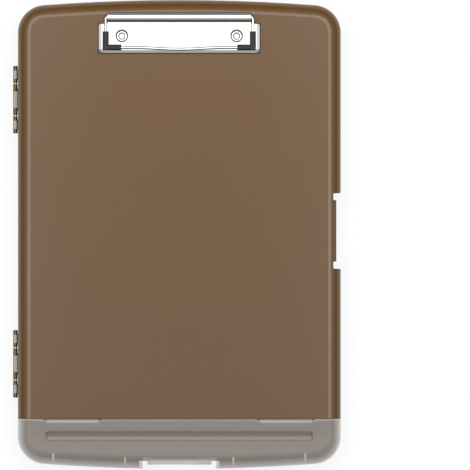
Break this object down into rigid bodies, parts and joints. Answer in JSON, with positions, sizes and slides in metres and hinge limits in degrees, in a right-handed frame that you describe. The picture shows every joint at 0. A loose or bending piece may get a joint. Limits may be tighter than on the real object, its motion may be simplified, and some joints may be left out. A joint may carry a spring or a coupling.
{
  "type": "storage clipboard box",
  "caption": "Hinged storage clipboard: shallow sheet tray with a side-opening front cover, low-profile wire clip and a translucent lid over a pen compartment at the foot.",
  "frame": {"origin": "middle of the case outline, on the flat outer face of the back", "axes": "+Z out of the writing face, +Y along the case towards the clip, +X across it towards the side finger notch; the main hinges are at -X"},
  "size_m": [0.2426, 0.3469, 0.0356],
  "materials": {
    "case_plastic": "fine satin moulded polypropylene, taupe brown",
    "lid_plastic": "frosted translucent moulded polypropylene",
    "clip_steel": "nickel-plated pressed steel",
    "wire_steel": "nickel-plated spring wire",
    "sleeve_rubber": "matt black rubber",
    "rivet_steel": "nickel-plated tubular rivet and washer",
    "pin_steel": "plain drawn steel pin"
  },
  "bodies": {
    "tray": {"base_shell": "case_plastic", "upper_hinge_pin": "pin_steel", "lower_hinge_pin": "pin_steel", "left_lid_pin": "pin_steel", "right_lid_pin": "pin_steel"},
    "cover": {"front_cover": "case_plastic", "clip_plate": "clip_steel", "left_rivet": "rivet_steel", "right_rivet": "rivet_steel", "left_rivet_washer": "rivet_steel", "right_rivet_washer": "rivet_steel"},
    "lid": {"pen_lid": "lid_plastic"},
    "bail": {"clip_bail": "wire_steel", "left_corner_sleeve": "sleeve_rubber", "right_corner_sleeve": "sleeve_rubber"}
  },
  "joints": [
    {"name": "cover_open", "type": "hinge", "parent": "tray", "child": "cover", "pos_m": [-0.12145, 0, 0.0154], "axis": [0, -1, 0], "range_deg": [0, 180]},
    {"name": "pen_lid_open", "type": "hinge", "parent": "tray", "child": "lid", "pos_m": [0, -0.13845, 0.026], "axis": [-1, 0, 0], "range_deg": [0, 90]},
    {"name": "bail_lift", "type": "hinge", "parent": "cover", "child": "bail", "pos_m": [0, 0.16065, 0.0324], "axis": [-1, 0, 0], "range_deg": [0, 75], "stiffness_Nm_per_rad": 0.12, "springref_deg": -40.11}
  ]
}
